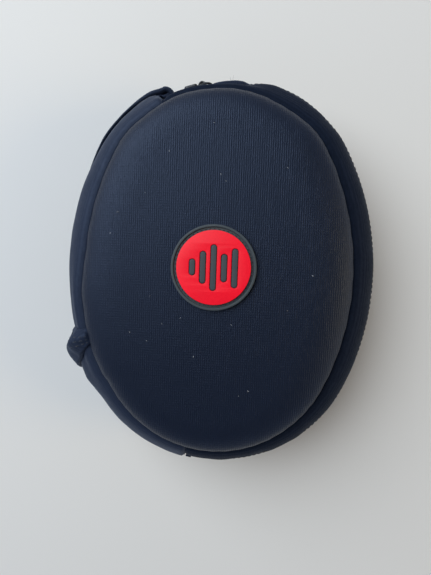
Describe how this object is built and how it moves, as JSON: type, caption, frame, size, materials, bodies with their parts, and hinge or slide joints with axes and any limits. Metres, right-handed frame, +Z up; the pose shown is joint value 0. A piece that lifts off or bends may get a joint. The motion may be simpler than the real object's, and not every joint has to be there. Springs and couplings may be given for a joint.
{
  "type": "headphone carrying case",
  "caption": "Oval soft-shell headphone case with a zip round its edge, a padded spine hinge, a carrying strap and a round rubber badge.",
  "frame": {"origin": "centre of the flat underside that the closed case rests on", "axes": "+Z up out of the badge side, +Y along the long axis to the end where the zip slider is parked, spine and strap on the -X side"},
  "size_m": [0.1517, 0.1898, 0.0625],
  "materials": {
    "knit_fabric": "matt stretch knit with fine wales",
    "padded_knit": "smooth padded knit",
    "webbing": "soft woven tape",
    "lining_cloth": "brushed tricot",
    "zip_cloth": "woven zip tape",
    "eva_foam": "moulded closed-cell foam",
    "zip_plastic": "black coil",
    "dark_metal": "gunmetal, satin",
    "grey_rubber": "moulded matt rubber",
    "red_rubber": "moulded satin rubber"
  },
  "bodies": {
    "base": {"back_panel": "knit_fabric", "back_gusset": "knit_fabric", "back_foam_shell": "eva_foam", "back_lining": "lining_cloth", "back_binding": "webbing", "back_zip_tape": "zip_cloth", "back_zip_coil": "zip_plastic", "back_top_stop": "dark_metal", "zip_bottom_stop": "dark_metal", "zip_end_tab": "webbing", "spine_panel": "padded_knit", "spine_lining": "lining_cloth", "handle_strap": "padded_knit", "handle_end_wrap": "padded_knit"},
    "lid": {"front_panel": "knit_fabric", "front_gusset": "knit_fabric", "front_foam_shell": "eva_foam", "front_lining": "lining_cloth", "front_binding": "webbing", "front_zip_tape": "zip_cloth", "front_zip_coil": "zip_plastic", "front_top_stop": "dark_metal", "badge_base": "grey_rubber", "badge_inlay": "red_rubber"},
    "slider": {"zip_slider": "dark_metal"},
    "zip_pull": {"pull_ring": "dark_metal", "pull_tab": "webbing"}
  },
  "joints": [
    {"name": "lid_hinge", "type": "hinge", "parent": "base", "child": "lid", "pos_m": [-0.079, 0, 0.03], "axis": [0, -1, 0], "range_deg": [0, 75], "deforming": ["spine_panel", "spine_lining", "handle_end_wrap"]},
    {"name": "slider_travel", "type": "hinge", "parent": "base", "child": "slider", "pos_m": [0, 0.01866, 0.03], "axis": [0, 0, -1], "range_deg": [0, 48]},
    {"name": "pull_swing", "type": "hinge", "parent": "slider", "child": "zip_pull", "pos_m": [-0.01221, 0.09375, 0.03], "axis": [0, 0, 1], "range_deg": [0, 150]}
  ]
}
